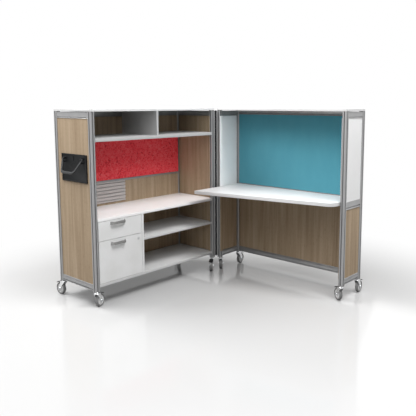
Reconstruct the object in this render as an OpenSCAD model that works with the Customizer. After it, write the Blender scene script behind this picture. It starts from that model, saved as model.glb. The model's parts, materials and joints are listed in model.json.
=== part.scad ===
// Fold-up office workstation on casters: a storage unit and a desk unit in
// post-and-rail frames, joined along one corner by a full-height hinge.
// Drawn open at a right angle. Millimetres, Z up, floor at zero, the origin
// under the middle of the whole part. Along a unit's front, distances run
// from its hinge end; depths run back from its front.

/* [Units] */
// width of each unit along its front
unit_width = 1245; // [1100:5:1500]
// depth of the storage unit
storage_depth = 460; // [420:5:600]
// depth of the desk unit's frame
desk_depth = 280; // [240:5:400]
// gap between the two fronts when folded, and between the two ends in line
unit_gap = 13.4; // [13:0.1:20]
// height of the posts' feet above the floor, which is the casters' height
foot_height = 116; // [112:1:130]
// length of a post
post_length = 1284; // [1250:1:1500]
// thickness of the top slabs
slab_thick = 18; // [12:1:30]
// corner radius of the top slabs in plan
slab_corner = 9; // [4:1:20]

/* [Frame] */
// side of a square post
post_side = 35; // [32:1:45]
// corner radius of a post
post_corner = 5; // [2:0.5:8]
// wall of the hollow post
post_wall = 2.5; // [2:0.5:4]
// length of the solid plug at a post's foot that holds the caster stem
plug_length = 48; // [42:1:70]
// lift of the bottom rails above the posts' feet
rail_lift = 10; // [5:1:20]
// height of a bottom rail without its bead
low_rail = 36; // [25:1:50]
// height of a top rail without its bead
top_rail = 39; // [25:1:50]
// height of a middle rail without its bead
mid_rail = 39; // [25:1:50]
// height of the bead that frames a panel
bead = 9; // [5:1:15]
// height of the deeper bead under a middle rail
mid_bead = 19; // [10:1:25]
// how far a rail's face stands back from the posts' faces
rail_back = 3; // [1:0.5:5]
// thickness of a rail
rail_thick = 26; // [20:1:28]
// how far a bead stands back from its rail's face
bead_back = 2; // [1:0.5:4]
// how far a panel's face stands back from the posts' faces
panel_back = 7; // [6:0.5:10]
// thickness of an end panel
panel_thick = 8; // [6:0.5:12]
// thickness of a storage back panel
back_thick = 18; // [12:1:20]
// distance of the storage unit's back panel in front of its back plane
storage_behind = 33; // [22:1:60]
// height of the desk's middle rails
mid_z = 743; // [715:1:760]
// distance of the blue tackboard's face in front of the desk unit's back plane
desk_behind = 31; // [25:1:50]
// thickness of the desk's back panels
desk_back_thick = 14; // [10:1:18]
// clearance of a board's notch round a post
notch_fit = 0.3; // [0.1:0.1:1]

/* [Shelves] */
// distance of the overhead shelf's upper face below the posts' tops
overhead_down = 186; // [150:1:250]
// thickness of the overhead shelf
overhead_thick = 24; // [16:1:30]
// thickness of the divider and of the pedestal's side
divider_thick = 18; // [12:1:25]
// distance of the divider's middle from the hinge end
divider_at = 640; // [500:1:800]
// height of the credenza top's upper face
credenza_z = 644; // [600:1:680]
// thickness of the credenza top and of the bottom panel
board_thick = 20; // [16:1:25]
// height of the bottom panel's upper face
bottom_z = 170; // [165:1:180]
// height of the middle shelf's upper face
middle_z = 435; // [350:1:500]
// thickness of the middle shelf
middle_thick = 17; // [12:1:20]
// how far the middle shelf's front stands back
middle_back = 6; // [2:1:20]

/* [Boards] */
// thickness of the tackboards
tack_thick = 10; // [8:1:15]
// share of the height between the credenza top and the overhead shelf that the red board covers
red_share = 0.63; // [0.4:0.01:0.7]
// height of the rail under the red tackboard
tack_rail = 15; // [10:1:25]
// thickness of that rail and of the slatted board
slat_thick = 12; // [10:1:15]
// height of the slatted board's lower edge above the credenza top
slat_lift = 20; // [11:1:56]
// number of grooves in the slatted board
slat_count = 6; // [4:1:8]
// width of a groove's mouth
slat_groove = 5; // [3:0.5:8]
// width of a groove behind its mouth
slat_under = 10; // [8:0.5:14]
// depth of a groove
slat_deep = 6; // [3:0.5:7]
// gap round a tackboard
tack_gap = 1; // [0.5:0.5:3]

/* [Drawers] */
// distance from the hinge end to the pedestal side's face on the shelf bay
pedestal_at = 797; // [750:1:850]
// height of the box drawer's front
box_front = 139; // [120:1:160]
// gap between drawer fronts and round them
front_gap = 3; // [2:0.5:5]
// thickness of a drawer front
front_thick = 18; // [14:1:20]
// thickness of a drawer's sides and back
side_thick = 12; // [10:1:15]
// thickness of a drawer's bottom
floor_thick = 6; // [4:1:9]
// room between a drawer box and the back panel
box_room = 24; // [10:1:60]
// height of the box drawer's sides
box_side = 96; // [70:1:110]
// height of the file drawer's sides
file_side = 256; // [200:1:280]
// height of the drawer boxes above their fronts' lower edges
box_lift = 16; // [10:1:20]
// room between a drawer's side and the cabinet for one runner
runner_room = 12; // [11:0.5:15]
// wall of the runners' channels
runner_wall = 1.6; // [1.2:0.1:2]
// height of the cabinet's runner channel
runner_high = 36; // [30:1:45]
// clearance between two nested runners
runner_fit = 0.5; // [0.3:0.1:0.8]
// length of a drawer pull
pull_long = 133; // [100:1:160]
// how far a pull stands out from its front
pull_out = 25; // [20:1:35]
// height of a pull's strap
pull_high = 20; // [14:1:26]
// thickness of a pull's strap
pull_thick = 6; // [4:0.5:8]
// clear length inside a pull's foot, from its end
pull_foot = 8; // [6:0.5:12]
// length of a pull's sloping ends
pull_slope = 14; // [8:1:25]
// distance of the pulls' middle from the hinge end
pull_at = 1040; // [950:1:1100]
// height of the box drawer's pull
box_pull_z = 602; // [560:1:606]
// height of the file drawer's pull
file_pull_z = 452; // [430:1:464]
// distance of the lock from the hinge end
lock_at = 852; // [845:1:880]
// height of the lock
lock_z = 446; // [435:1:455]
// radius of the lock's plug
lock_radius = 7; // [5:0.5:9]
// thickness of the lock's collar and of its cam
cam_thick = 2.5; // [2:0.5:4]
// width of the cam
cam_wide = 8; // [6:0.5:10]
// height of the lip that the cam catches, above the plug's axis
lip_up = 18; // [12:1:22]
// depth of the lock rail's flange
lock_flange = 40; // [20:1:60]
// thickness of the lock rail
lock_rail = 3; // [2:0.5:4]
// reach of the lock's cam from the plug's axis
cam_reach = 25; // [20:1:30]
// running clearance on a radius
run_fit = 0.05; // [0.02:0.01:0.1]
// gap between faces that slide or turn past each other
face_gap = 0.5; // [0.3:0.1:1]

/* [Worktop] */
// height of the worktop's upper face
work_z = 747; // [720:1:770]
// thickness of the worktop
work_thick = 28; // [20:1:35]
// reach of the worktop in front of the frame at the hinge end
work_reach_near = 316; // [250:1:360]
// reach of the worktop in front of the frame at the far end
work_reach_far = 80; // [78:1:200]
// radius of the worktop's rounded front corner
work_corner = 75; // [40:1:76]
// gap between the worktop and the posts
work_gap = 3; // [2:0.5:5]
// thickness of the steel of a worktop bracket
bracket_thick = 3; // [2:0.5:5]
// width of a bracket's flanges
bracket_wide = 40; // [25:1:60]
// height of the desk's back rail above the blue tackboard
blue_rail = 33; // [25:1:45]

/* [Hinge] */
// radius of the hinge barrel
barrel_radius = 6; // [5:0.1:6.3]
// radius of the hinge pin
pin_radius = 3; // [2:0.1:3.5]
// thickness of a hinge leaf
leaf_thick = 2; // [1.5:0.1:2.5]
// distance of the hinge's lower end above the posts' feet
hinge_lift = 14; // [8:1:30]
// distance of the hinge's upper end below the posts' tops
hinge_drop = 4; // [3:1:20]
// number of knuckles, shared by the two leaves
knuckles = 25; // [9:2:41]

/* [Carrying handle] */
// width of the handle's plate
plate_wide = 311; // [250:1:330]
// height of the plate
plate_high = 200; // [150:1:240]
// thickness of the plate
plate_thick = 5; // [3:0.5:6]
// width of the plate's raised rim
rim_wide = 8; // [5:1:15]
// how far the rim stands above the plate
rim_high = 3; // [2:0.5:4]
// distance of the plate's middle behind the front plane
plate_at = 218; // [200:1:230]
// height of the plate's middle
plate_z = 997; // [900:1:1100]
// height of the bail's pivot above the plate's middle
pivot_up = 68; // [50:1:80]
// half of the distance between the bail's two arms at the pivots
bail_half = 124; // [100:1:130]
// half of the distance between the two arms at the grip
grip_half = 73; // [60:1:90]
// length of the bail from pivot to grip
bail_long = 111; // [90:1:130]
// lean of the hanging bail away from the plate, in degrees
bail_lean = 26; // [20:1:35]
// radius of a bail arm
arm_radius = 4.5; // [3:0.5:6]
// radius of the grip
grip_radius = 7; // [5:0.5:10]
// distance of the pivot's axis in front of the plate
pivot_out = 12; // [10:1:16]
// width of a pivot lug
lug_wide = 14; // [10:1:20]
// radius of a pivot lug
lug_radius = 8; // [7:0.5:12]
// thickness of the clip on a trunnion's end
clip_thick = 1.5; // [1:0.5:3]
// height of the stop that the hanging bail rests over
stop_high = 11; // [8:1:16]
// distance of the stop's upper face below the pivot
stop_down = 19; // [18:1:26]
// how far the stop stands out from the plate
stop_out = 15.8; // [14:0.1:16]
// radius of a bail's trunnion
trunnion_radius = 4; // [3:0.5:5]
// width of the upright slot in the plate
slot_wide = 10; // [6:1:14]
// height of the slot
slot_high = 33; // [25:1:45]

/* [Casters] */
// distance of a caster's stem from the two outer faces of its post
stem_inset = 20; // [17.5:0.5:22]
// radius of a caster's wheel
wheel_radius = 46; // [40:1:50]
// width of a wheel
wheel_wide = 25; // [20:1:26]
// distance of the wheel's axle from the swivel axis
trail = 38; // [30:1:45]
// radius of a caster's stem
stem_radius = 5.5; // [4.5:0.5:7]
// length of the stem inside the post
stem_length = 40; // [30:1:45]
// radius of the caster's crown
crown_radius = 18.5; // [16:0.5:19]
// height of the crown
crown_high = 10; // [8:1:14]
// thickness of the fork's plates
fork_thick = 3; // [2:0.5:4]
// gap between the wheel and a fork plate
fork_gap = 1; // [0.5:0.1:2]
// radius of the axle
axle_radius = 4; // [3:0.5:5]
// radius of the heads on the axle's ends
head_radius = 7; // [5:0.5:9]
// thickness of the heads
head_thick = 2; // [1:0.5:3]
// reach of the fork's plates in front of the swivel axis
fork_front = 17; // [14:1:18]
// reach of the fork's plates behind the swivel axis, at their top
fork_back = 31; // [28:1:34]
// height of the fork's back edge
fork_edge = 92; // [85:1:96]
// half of the fork's width round the axle
leg_half = 9; // [7:0.5:11]
// distance of the brake's pivot behind the swivel axis
pin_at = 26; // [24:0.5:27]
// height of the brake's pivot
pin_z = 100; // [98:0.5:101]
// radius of the pedal's barrel
brake_barrel = 4.5; // [4:0.5:5]
// slope of the released pedal, in degrees
pedal_slope = 15; // [10:1:16]
// distance from the pivot at which the tread begins
tread_at = 8; // [7:0.5:12]
// radius of the brake pedal's pivot pin
brake_pin = 2; // [1.5:0.1:3]
// length of the brake pedal beyond its pivot
pedal_long = 46; // [35:1:50]
// width of the brake pedal's tread
pedal_wide = 34; // [28:1:36]
// thickness of the pedal
pedal_thick = 5; // [4:0.5:7]

/* [Caster headings] */
// heading of the storage unit's front caster at the far end, in degrees
storage_front_far_turn = 112; // [100:1:120]
// heading of the storage unit's back caster at the far end
storage_back_far_turn = 185; // [0:1:359]
// heading of the storage unit's back caster at the hinge end
storage_back_near_turn = 160; // [0:1:359]
// heading of the storage unit's front caster at the hinge end
storage_front_near_turn = 305; // [300:1:310]
// heading of the desk unit's front caster at the hinge end
desk_front_near_turn = 125; // [120:1:130]
// heading of the desk unit's front caster at the far end
desk_front_far_turn = 149; // [145:1:165]
// heading of the desk unit's back caster at the far end
desk_back_far_turn = 95; // [0:1:359]
// heading of the desk unit's back caster at the hinge end
desk_back_near_turn = 100; // [0:1:359]

/* [Hidden] */
$fn = 48;
// how far a cut runs past the face that it opens
past = 1;
// outline of a wheel: shares of its radius and of half its width
wheel_shares = [[0, 1], [0.22, 1], [0.26, 0.55], [0.68, 0.55], [0.74, 0.96], [0.93, 1], [1, 0.7]];
half_gap = unit_gap / 2;
post_top = foot_height + post_length;
rail_low_z = foot_height + rail_lift;
low_panel_z = rail_low_z + low_rail + bead;
top_panel_z = post_top - top_rail - bead;
mid_rail_z = mid_z - mid_rail;
mid_under_z = mid_rail_z - mid_bead;
storage_reach = storage_depth - storage_behind;
desk_reach = desk_depth - desk_behind;
inner_face = panel_back + panel_thick;
rail_face = rail_back + rail_thick;
bay_end = unit_width - post_side;
overhead_z = post_top - overhead_down;
overhead_under = overhead_z - overhead_thick;
red_z = overhead_under - red_share * (overhead_under - credenza_z);
credenza_under = credenza_z - board_thick;
slat_z = credenza_z + slat_lift;
slat_top = red_z - tack_rail;
slat_pitch = (slat_top - slat_z) / slat_count;
pedestal_face = pedestal_at + divider_thick;
box_front_z = credenza_under - front_gap - box_front;
file_front_z = bottom_z + front_gap;
file_front = box_front_z - front_gap - file_front_z;
box_z = box_front_z + box_lift;
file_z = file_front_z + box_lift;
box_long = storage_reach - front_thick - box_room;
runner_at = front_thick + lock_rail;
mid_runner_in = runner_wall + runner_fit;
mid_runner_high = runner_high - 2 * mid_runner_in;
bar_in = 2 * mid_runner_in;
bar_high = mid_runner_high - 2 * mid_runner_in;
hinge_z = foot_height + hinge_lift;
hinge_long = post_length - hinge_lift - hinge_drop;
knuckle_pitch = hinge_long / knuckles;
crown_z = foot_height - face_gap - crown_high;
fork_in = wheel_wide / 2 + fork_gap;
fork_out = fork_in + fork_thick;
wheel_reach = trail + wheel_radius;
bail_slant = (bail_half - grip_half) / bail_long;
// the lugs stand this much further in than the bail's arms, which slant inwards past them
arm_clear = (lug_radius + arm_radius) * bail_slant;
stem_near = half_gap + stem_inset;
stem_far = half_gap + unit_width - stem_inset;
storage_stem_back = half_gap + storage_depth - stem_inset;
desk_stem_back = half_gap + desk_depth - stem_inset;

// how far a caster reaches along a direction from its stem, by that direction's two components
function reach(along, across) = wheel_reach * along + wheel_wide / 2 * abs(across);

// the part's extreme positions about the hinge axis, which put the origin under its middle
left_x = -storage_stem_back - max([for (a = [storage_back_far_turn, storage_back_near_turn])
  reach(-cos(a), sin(a))]);
right_x = stem_far + max(stem_inset, max([for (a = [desk_front_far_turn, desk_back_far_turn])
  reach(cos(a), sin(a))]));
front_y = -max(half_gap + unit_width - panel_back + plate_thick + pivot_out
  + bail_long * sin(bail_lean) + grip_radius,
  stem_far + max([for (a = [storage_front_far_turn, storage_back_far_turn]) reach(-sin(a), cos(a))]));
back_y = desk_stem_back + max([for (a = [desk_back_far_turn, desk_back_near_turn])
  reach(sin(a), cos(a))]);
frame_x = -(left_x + right_x) / 2;
frame_y = -(front_y + back_y) / 2;

silver = [0.63, 0.64, 0.65];
white = [0.93, 0.93, 0.92];
oak = [0.72, 0.63, 0.52];
red_felt = [0.75, 0.22, 0.26];
blue_cloth = [0.29, 0.56, 0.62];
slat_grey = [0.63, 0.6, 0.6];
black = [0.12, 0.12, 0.13];
steel = [0.75, 0.76, 0.77];
chrome = [0.85, 0.86, 0.87];
tyre_grey = [0.42, 0.42, 0.42];

// Places. A unit's own axes run along its front from the hinge end, back from its front, and up.

module about_hinge() {
  translate([frame_x, frame_y, 0]) children();
}

module in_storage() {
  about_hinge() translate([-half_gap, -half_gap, 0]) rotate([0, 0, 90]) mirror([1, 0, 0]) children();
}

module in_desk() {
  about_hinge() translate([half_gap, half_gap, 0]) children();
}

// a unit's end at the hinge, as seen from its own front to its back
module near_end() {
  rotate([0, 0, 90]) mirror([0, 1, 0]) children();
}

module far_end() {
  translate([unit_width, 0, 0]) rotate([0, 0, 90]) children();
}

module both_ends() {
  near_end() children();
  far_end() children();
}

module back_of(depth) {
  translate([0, depth, 0]) mirror([0, 1, 0]) children();
}

// Frame

module soft_square(wide, deep, r) {
  translate([r, 0]) square([wide - 2 * r, deep]);
  translate([0, r]) square([wide, deep - 2 * r]);
  for (x = [r, wide - r]) for (y = [r, deep - r]) translate([x, y]) circle(r);
}

// four hollow posts, each with a solid foot bored for its caster's stem
module posts(depth) {
  for (far = [0, 1]) for (back = [0, 1]) difference() {
    translate([far * bay_end, back * (depth - post_side), foot_height])
      linear_extrude(post_length) soft_square(post_side, post_side, post_corner);
    translate([far * bay_end + post_wall, back * (depth - post_side) + post_wall,
      foot_height + plug_length])
      cube([post_side - 2 * post_wall, post_side - 2 * post_wall, post_length]);
    translate([far ? unit_width - stem_inset : stem_inset, back ? depth - stem_inset : stem_inset,
      foot_height - past])
      cylinder(h = stem_length + face_gap + past, r = stem_radius + run_fit);
  }
}

// a rail with a set-back bead under and over it, between two posts
module rail(span, z, high, under, over) {
  translate([post_side, rail_back, z]) cube([span - 2 * post_side, rail_thick, high]);
  translate([post_side, rail_back + bead_back, z - under])
    cube([span - 2 * post_side, rail_thick - 2 * bead_back, under + high + over]);
}

module low_and_top_rails(span, top_high) {
  rail(span, rail_low_z, low_rail, 0, bead);
  rail(span, post_top - top_high, top_high, bead, 0);
}

module panel(span, face, thick, z, z_top) {
  translate([post_side, face, z]) cube([span - 2 * post_side, thick, z_top - z]);
}

module slab(depth) {
  translate([0, 0, post_top]) linear_extrude(slab_thick) soft_square(unit_width, depth, slab_corner);
}

// Storage unit

module storage_posts() {
  color(silver) in_storage() posts(storage_depth);
}

module storage_rails() {
  color(silver) in_storage() {
    both_ends() low_and_top_rails(storage_depth, top_rail);
    back_of(storage_depth) low_and_top_rails(unit_width, top_rail);
    translate([post_side, storage_reach - slat_thick, slat_top])
      cube([unit_width - 2 * post_side, slat_thick, tack_rail]);
  }
}

module storage_wood_panels() {
  color(oak) in_storage() {
    both_ends() panel(storage_depth, panel_back, panel_thick, low_panel_z, top_panel_z);
    panel(unit_width, storage_reach, back_thick, low_panel_z, top_panel_z);
  }
}

module storage_top() {
  color(white) in_storage() slab(storage_depth);
}

// a board across the storage unit, notched round the four posts
module board(from, to, front, z, thick) {
  notch = post_side + notch_fit;
  difference() {
    translate([from, front, z]) cube([to - from, storage_reach - front, thick]);
    for (far = [0, 1]) for (back = [0, 1])
      translate([far ? unit_width - notch : -past, back ? storage_depth - notch : -past, z - past])
        cube([notch + past, notch + past, thick + 2 * past]);
  }
}

module overhead_shelf() {
  color(white) in_storage()
    board(inner_face, unit_width - inner_face, 0, overhead_under, overhead_thick);
}

module shelf_divider() {
  color(white) in_storage() translate([divider_at - divider_thick / 2, 0, overhead_z])
    cube([divider_thick, storage_reach, post_top - overhead_z]);
}

module red_tackboard() {
  color(red_felt) in_storage() translate([post_side + tack_gap, storage_reach - tack_thick, red_z])
    cube([unit_width - 2 * (post_side + tack_gap), tack_thick, overhead_under - tack_gap - red_z]);
}

// grooves with a wider space behind their mouths, for hanging trays and hooks
module slatted_board() {
  wide = bay_end - divider_at - tack_gap;
  color(slat_grey) in_storage() translate([divider_at, storage_reach - slat_thick, slat_z])
    difference() {
      cube([wide, slat_thick, slat_top - slat_z]);
      for (i = [0 : slat_count - 1]) translate([-past, 0, (i + 1 / 2) * slat_pitch]) {
        translate([0, -past, -slat_groove / 2]) cube([wide + 2 * past, slat_deep + past, slat_groove]);
        translate([0, slat_deep / 2, -slat_under / 2])
          cube([wide + 2 * past, slat_deep / 2, slat_under]);
      }
    }
}

module credenza_top() {
  color(white) in_storage()
    board(inner_face, unit_width - inner_face, 0, credenza_under, board_thick);
}

module pedestal_side() {
  color(white) in_storage() translate([pedestal_at, 0, bottom_z])
    cube([divider_thick, storage_reach, credenza_under - bottom_z]);
}

module middle_shelf() {
  color(white) in_storage()
    board(inner_face, pedestal_at, middle_back, middle_z - middle_thick, middle_thick);
}

module bottom_panel() {
  color(white) in_storage()
    board(rail_face, unit_width - rail_face, 0, bottom_z - board_thick, board_thick);
}

// Drawers

// one slide on each side of the drawer space, measured from the wall towards the drawer
module both_slides(z) {
  translate([pedestal_face, 0, z]) children();
  translate([bay_end, 0, z]) mirror([1, 0, 0]) children();
}

// a channel open towards the drawer
module channel(from, to, high, start, end) {
  translate([from, start, -high / 2]) difference() {
    cube([to - from, end - start, high]);
    translate([runner_wall, -past, runner_wall])
      cube([to - from, end - start + 2 * past, high - 2 * runner_wall]);
  }
}

module drawer_slides_and_lock_rail() {
  color(steel) in_storage() {
    for (z = [box_z + box_side / 2, file_z + file_side / 2]) both_slides(z)
      channel(0, runner_room - runner_wall - 2 * runner_fit, runner_high, runner_at, storage_reach);
    translate([pedestal_face, front_thick + face_gap, lock_z + lip_up])
      cube([bay_end - pedestal_face, lock_rail, box_front_z - lock_z - lip_up]);
    translate([pedestal_face, front_thick + face_gap, box_front_z - lock_rail])
      cube([bay_end - pedestal_face, lock_flange, lock_rail]);
  }
}

module middle_slides(z) {
  color(steel) in_storage() both_slides(z)
    channel(mid_runner_in, runner_room - runner_wall, mid_runner_high, runner_at,
      runner_at + box_long - lock_rail);
}

module box_drawer_middle_slides() {
  middle_slides(box_z + box_side / 2);
}

module file_drawer_middle_slides() {
  middle_slides(file_z + file_side / 2);
}

// an open box with a slide's inner bar on each side
module drawer_box(z, high) {
  wide = bay_end - pedestal_face - 2 * runner_room;
  color(white) in_storage() {
    translate([pedestal_face + runner_room, front_thick, z]) difference() {
      cube([wide, box_long, high]);
      translate([side_thick, -past, floor_thick])
        cube([wide - 2 * side_thick, box_long - side_thick + past, high]);
    }
    both_slides(z + high / 2) translate([bar_in, runner_at, -bar_high / 2])
      cube([runner_room - bar_in, box_long - lock_rail, bar_high]);
  }
}

module drawer_front(z, high) {
  translate([pedestal_face + front_gap, 0, z])
    cube([bay_end - pedestal_face - 2 * front_gap, front_thick, high]);
}

// a strap bent into a bridge
module pull(z) {
  foot = pull_long / 2;
  bend = foot - pull_slope;
  color(steel) in_storage() translate([pull_at, 0, z - pull_high / 2]) linear_extrude(pull_high)
    polygon([[-foot, 0], [-bend, -pull_out], [bend, -pull_out], [foot, 0], [foot - pull_foot, 0],
      [bend - pull_thick / 2, pull_thick - pull_out], [pull_thick / 2 - bend, pull_thick - pull_out],
      [pull_foot - foot, 0]]);
}

module box_drawer_box() {
  drawer_box(box_z, box_side);
}

module box_drawer_front() {
  color(white) in_storage() drawer_front(box_front_z, box_front);
}

module box_drawer_pull() {
  pull(box_pull_z);
}

module file_drawer_box() {
  drawer_box(file_z, file_side);
}

module file_drawer_front() {
  color(white) in_storage() difference() {
    drawer_front(file_front_z, file_front);
    translate([lock_at, -past, lock_z]) rotate([-90, 0, 0])
      cylinder(h = front_thick + 2 * past, r = lock_radius + run_fit);
  }
}

module file_drawer_pull() {
  pull(file_pull_z);
}

// a plug with a collar in front, a key slot, and a cam behind the lock rail's lip
module drawer_lock() {
  cam_at = front_thick + lock_rail + 2 * face_gap;
  color(steel) in_storage() translate([lock_at, 0, lock_z]) {
    difference() {
      translate([0, -face_gap - cam_thick, 0]) rotate([-90, 0, 0]) {
        cylinder(h = cam_at + 2 * cam_thick + face_gap, r = lock_radius);
        cylinder(h = cam_thick, r = lock_radius + cam_thick);
      }
      translate([-lock_rail / 4, -past - cam_thick, -lock_radius / 2])
        cube([lock_rail / 2, past + cam_thick, lock_radius]);
    }
    translate([0, cam_at, -cam_wide / 2]) cube([cam_reach, cam_thick, cam_wide]);
  }
}

// Hinge: the leaves stand on the posts' end faces, and their knuckles take turns round one pin

module leaf(first) {
  difference() {
    union() {
      translate([-leaf_thick, 0, hinge_z]) cube([leaf_thick, post_side - leaf_thick, hinge_long]);
      for (i = [first : 2 : knuckles - 1])
        translate([0, 0, hinge_z + i * knuckle_pitch + face_gap / 2]) {
          translate([-leaf_thick, -half_gap, 0])
            cube([leaf_thick, half_gap, knuckle_pitch - face_gap]);
          translate([-half_gap, -half_gap, 0])
            cylinder(h = knuckle_pitch - face_gap, r = barrel_radius);
        }
    }
    translate([-half_gap, -half_gap, hinge_z - past])
      cylinder(h = hinge_long + 2 * past, r = pin_radius + run_fit);
  }
}

module storage_hinge_leaf_and_pin() {
  color(black) in_storage() {
    leaf(0);
    translate([-half_gap, -half_gap, hinge_z - leaf_thick]) {
      cylinder(h = hinge_long + 2 * leaf_thick, r = pin_radius);
      cylinder(h = leaf_thick, r = barrel_radius - face_gap);
      translate([0, 0, hinge_long + leaf_thick]) cylinder(h = leaf_thick, r = barrel_radius - face_gap);
    }
  }
}

module desk_hinge_leaf() {
  color(black) in_desk() leaf(1);
}

// Carrying handle: across the end, out from it, and up

module at_plate() {
  in_storage() translate([unit_width - panel_back, plate_at, plate_z]) near_end() children();
}

module across(x, y, z, long, r) {
  translate([x, y, z]) rotate([0, 90, 0]) cylinder(h = long, r = r, center = true);
}

module handle_plate() {
  lug_at = bail_half - arm_radius - arm_clear - face_gap - lug_wide / 2;
  stop_at = bail_half - bail_slant * (stop_down + stop_high / 2) / cos(bail_lean);
  pivot_y = plate_thick + pivot_out;
  color(black) at_plate() difference() {
    union() {
      translate([-plate_wide / 2, 0, -plate_high / 2]) difference() {
        cube([plate_wide, plate_thick + rim_high, plate_high]);
        translate([rim_wide, plate_thick, rim_wide])
          cube([plate_wide - 2 * rim_wide, plate_thick, plate_high - 2 * rim_wide]);
      }
      for (s = [-1, 1]) {
        translate([s * lug_at - lug_wide / 2, 0, pivot_up - lug_radius])
          cube([lug_wide, pivot_y, 2 * lug_radius]);
        across(s * lug_at, pivot_y, pivot_up, lug_wide, lug_radius);
        translate([s * stop_at - arm_radius, 0, pivot_up - stop_down - stop_high])
          cube([2 * arm_radius, plate_thick + stop_out, stop_high]);
      }
    }
    across(0, pivot_y, pivot_up, plate_wide, trunnion_radius + run_fit);
    translate([-slot_wide / 2, -past, pivot_up - slot_high / 2])
      cube([slot_wide, plate_thick + 2 * past, slot_high]);
  }
}

module bail_handle() {
  lean = atan(bail_slant);
  arm = bail_long / cos(lean);
  lug_run = arm_clear + lug_wide + 2 * face_gap + clip_thick;
  color(black) at_plate() translate([0, plate_thick + pivot_out, pivot_up])
    rotate([bail_lean, 0, 0]) {
      for (s = [-1, 1]) {
        translate([s * bail_half, 0, 0]) {
          sphere(arm_radius);
          rotate([0, 180 + s * lean, 0]) cylinder(h = arm, r = arm_radius);
        }
        across(s * (bail_half - (arm_radius + lug_run) / 2), 0, 0, arm_radius + lug_run, trunnion_radius);
        across(s * (bail_half - arm_radius - lug_run + clip_thick / 2), 0, 0, clip_thick,
          lug_radius - 2 * face_gap);
        translate([s * grip_half, 0, -bail_long]) sphere(grip_radius);
      }
      across(0, 0, -bail_long, 2 * grip_half, grip_radius);
    }
}

// Desk unit

module desk_posts() {
  color(silver) in_desk() posts(desk_depth);
}

module desk_rails() {
  color(silver) in_desk() {
    both_ends() low_and_top_rails(desk_depth, top_rail);
    back_of(desk_depth) low_and_top_rails(unit_width, blue_rail - bead);
    both_ends() rail(desk_depth, mid_rail_z, mid_rail, mid_bead, 0);
    back_of(desk_depth) rail(unit_width, mid_rail_z, mid_rail, mid_bead, 0);
  }
}

module desk_wood_panels() {
  color(oak) in_desk() {
    both_ends() panel(desk_depth, panel_back, panel_thick, low_panel_z, mid_under_z);
    panel(unit_width, desk_reach + tack_thick, desk_back_thick, low_panel_z, mid_under_z);
  }
}

module desk_white_panels() {
  color(white) in_desk() {
    both_ends() panel(desk_depth, panel_back, panel_thick, mid_z, top_panel_z);
    panel(unit_width, desk_reach + tack_thick, desk_back_thick, mid_z, post_top - blue_rail);
  }
}

module desk_top() {
  color(white) in_desk() slab(desk_depth);
}

module blue_tackboard() {
  color(blue_cloth) in_desk() translate([post_side + tack_gap, desk_reach, work_z + tack_gap])
    cube([unit_width - 2 * (post_side + tack_gap), tack_thick,
      post_top - blue_rail - tack_gap - work_z]);
}

// one front edge slants from the hinge end to the far end, where it meets the side in a round corner
module worktop() {
  near = post_side + work_gap;
  far = unit_width - near;
  slant = atan2(work_reach_near - work_reach_far, far - near);
  // the round corner touches the side and the slanted front this far from where they would meet
  run = work_corner * cos(slant) / (1 + sin(slant));
  mid = [far - work_corner, run - work_reach_far];
  color(white) in_desk() translate([0, 0, work_z - work_thick]) linear_extrude(work_thick) {
    polygon([[near, desk_reach - notch_fit], [near, -work_reach_near],
      [far - run * cos(slant), -work_reach_far - run * sin(slant)], [far, run - work_reach_far],
      [far, desk_reach - notch_fit]]);
    translate(mid) circle(work_corner);
    translate([rail_face + notch_fit, post_side + notch_fit])
      square([unit_width - 2 * (rail_face + notch_fit), desk_depth - 2 * (post_side + notch_fit)]);
  }
}

// angles between the middle rails and the worktop's underside
module worktop_brackets() {
  long = desk_depth - 2 * post_side - bracket_wide / 2;
  color(steel) in_desk() both_ends()
    translate([post_side + bracket_wide / 4, rail_face, work_z - work_thick - bracket_wide]) {
      cube([long, bracket_thick, bracket_wide]);
      translate([0, 0, bracket_wide - bracket_thick]) cube([long, bracket_wide, bracket_thick]);
    }
}

// Casters. Each is drawn trailing along its own first axis and turned to its heading.

module caster(x, y, turn) {
  about_hinge() translate([x, y, 0]) rotate([0, 0, turn]) children();
}

module storage_front_far() {
  caster(-stem_near, -stem_far, storage_front_far_turn) children();
}

module storage_back_far() {
  caster(-storage_stem_back, -stem_far, storage_back_far_turn) children();
}

module storage_back_near() {
  caster(-storage_stem_back, -stem_near, storage_back_near_turn) children();
}

module storage_front_near() {
  caster(-stem_near, -stem_near, storage_front_near_turn) children();
}

module desk_front_near() {
  caster(stem_near, stem_near, desk_front_near_turn) children();
}

module desk_front_far() {
  caster(stem_far, stem_near, desk_front_far_turn) children();
}

module desk_back_far() {
  caster(stem_far, desk_stem_back, desk_back_far_turn) children();
}

module desk_back_near() {
  caster(stem_near, desk_stem_back, desk_back_near_turn) children();
}

module sideways(x, z, long, r) {
  translate([x, 0, z]) rotate([90, 0, 0]) cylinder(h = long, r = r, center = true);
}

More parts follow.
